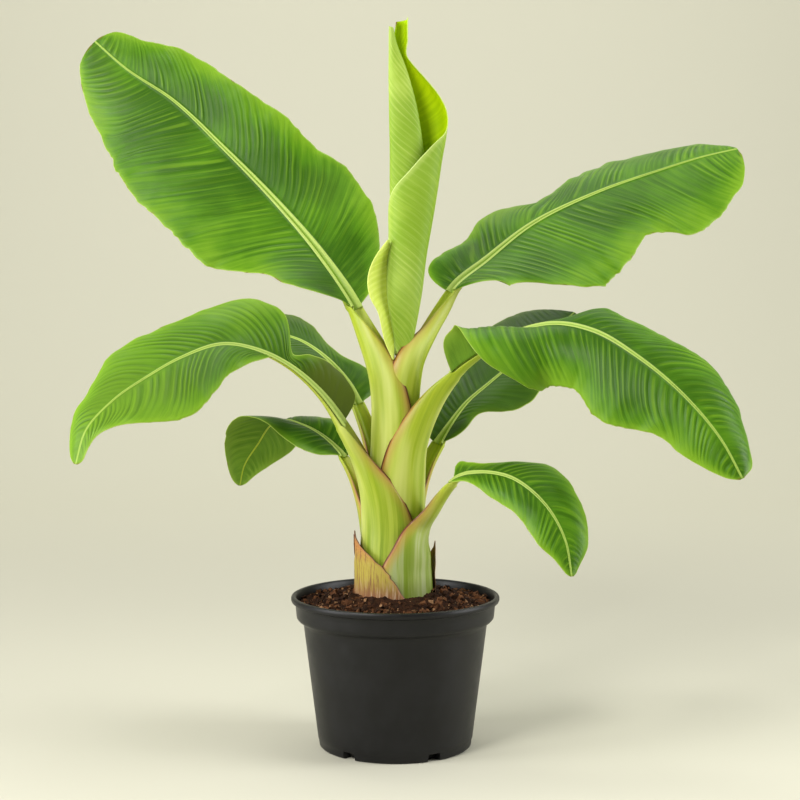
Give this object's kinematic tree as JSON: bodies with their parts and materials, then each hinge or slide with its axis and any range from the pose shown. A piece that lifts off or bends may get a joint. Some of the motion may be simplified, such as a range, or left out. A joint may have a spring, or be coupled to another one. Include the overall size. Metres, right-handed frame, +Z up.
{
  "type": "potted banana plant",
  "caption": "Leafy houseplant with a sheathed stem, broad arching leaves and a rolled young leaf, in a round tapered pot.",
  "frame": {"origin": "centre of the pot's flat underside", "axes": "+Z up along the stem; +X to the right seen from the front, which is the -Y side"},
  "size_m": [0.8273, 0.4514, 0.8452],
  "materials": {
    "pot": "matte black moulded plastic",
    "potting_mix": "damp crumbly bark and peat",
    "sheath": "smooth waxy leaf sheath",
    "stalk": "smooth waxy leaf stalk",
    "leaf": "pleated satin leaf",
    "young_leaf": "smooth pale young leaf",
    "dry_sheath": "dry papery brown sheath"
  },
  "bodies": {
    "root": {"blade_back_left": "leaf", "blade_back_right": "leaf", "blade_low_left_inner": "leaf", "blade_low_left_outer": "leaf", "blade_low_right_inner": "leaf", "blade_low_right_outer": "leaf", "blade_mid_left_inner": "leaf", "blade_mid_left_outer": "leaf", "blade_mid_right_inner": "leaf", "blade_mid_right_outer": "leaf", "blade_top_left": "leaf", "blade_top_right": "leaf", "old_sheath_front": "dry_sheath", "old_sheath_left": "dry_sheath", "old_sheath_right": "dry_sheath", "pot": "pot", "pseudostem": "sheath", "rolled_leaf": "young_leaf", "rolled_leaf_flap": "young_leaf", "soil": "potting_mix", "stalk_back_left": "stalk", "stalk_back_right": "stalk", "stalk_low_left": "stalk", "stalk_low_right": "stalk", "stalk_mid_left": "stalk", "stalk_mid_right": "stalk", "stalk_top_left": "stalk", "stalk_top_right": "stalk"}
  },
  "joints": []
}
